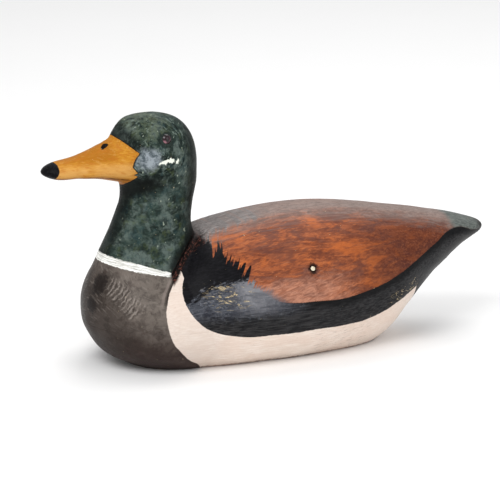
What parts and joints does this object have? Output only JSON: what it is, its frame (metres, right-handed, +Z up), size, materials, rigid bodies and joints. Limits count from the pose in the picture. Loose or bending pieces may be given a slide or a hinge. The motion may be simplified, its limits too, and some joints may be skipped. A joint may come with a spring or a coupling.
{
  "type": "floating duck decoy",
  "caption": "Hand-carved and painted hollow wooden drake mallard decoy with glass eyes, inlaid ballast and a line-tie ring under the breast.",
  "frame": {"origin": "on the flat bottom, midway between the bill tip and the tail tip, on the centre plane", "axes": "-Y along the bill, +Y towards the tail, +X towards the duck's left side, +Z up"},
  "size_m": [0.1472, 0.4001, 0.2095],
  "materials": {
    "painted_wood": "brushed oil paint over carved white cedar, satin",
    "painted_head": "brushed dark green oil paint over carved white pine, satin",
    "eye_glass": "polished coloured glass",
    "putty": "hardened filler, painted over",
    "dowel_wood": "bare birch",
    "steel": "plain steel, dull",
    "lead": "cast lead, oxidised",
    "brass": "tarnished"
  },
  "bodies": {
    "decoy": {"upper_body": "painted_wood", "lower_body": "painted_wood", "head": "painted_head", "left_eye": "eye_glass", "right_eye": "eye_glass", "eye_putty": "putty", "neck_dowels": "dowel_wood", "head_screw": "steel", "head_screw_washer": "steel", "body_dowels": "dowel_wood", "body_nails": "steel", "nail_fillers": "putty", "side_brad": "steel", "ballast_weight": "lead", "ballast_screws": "brass", "line_tie_staple": "brass"},
    "tie_ring": {"line_tie_ring": "brass"}
  },
  "joints": [
    {"name": "ring_swing", "type": "hinge", "parent": "decoy", "child": "tie_ring", "pos_m": [0, -0.096, 0.013], "axis": [1, 0, 0], "range_deg": [-85, 85]}
  ]
}
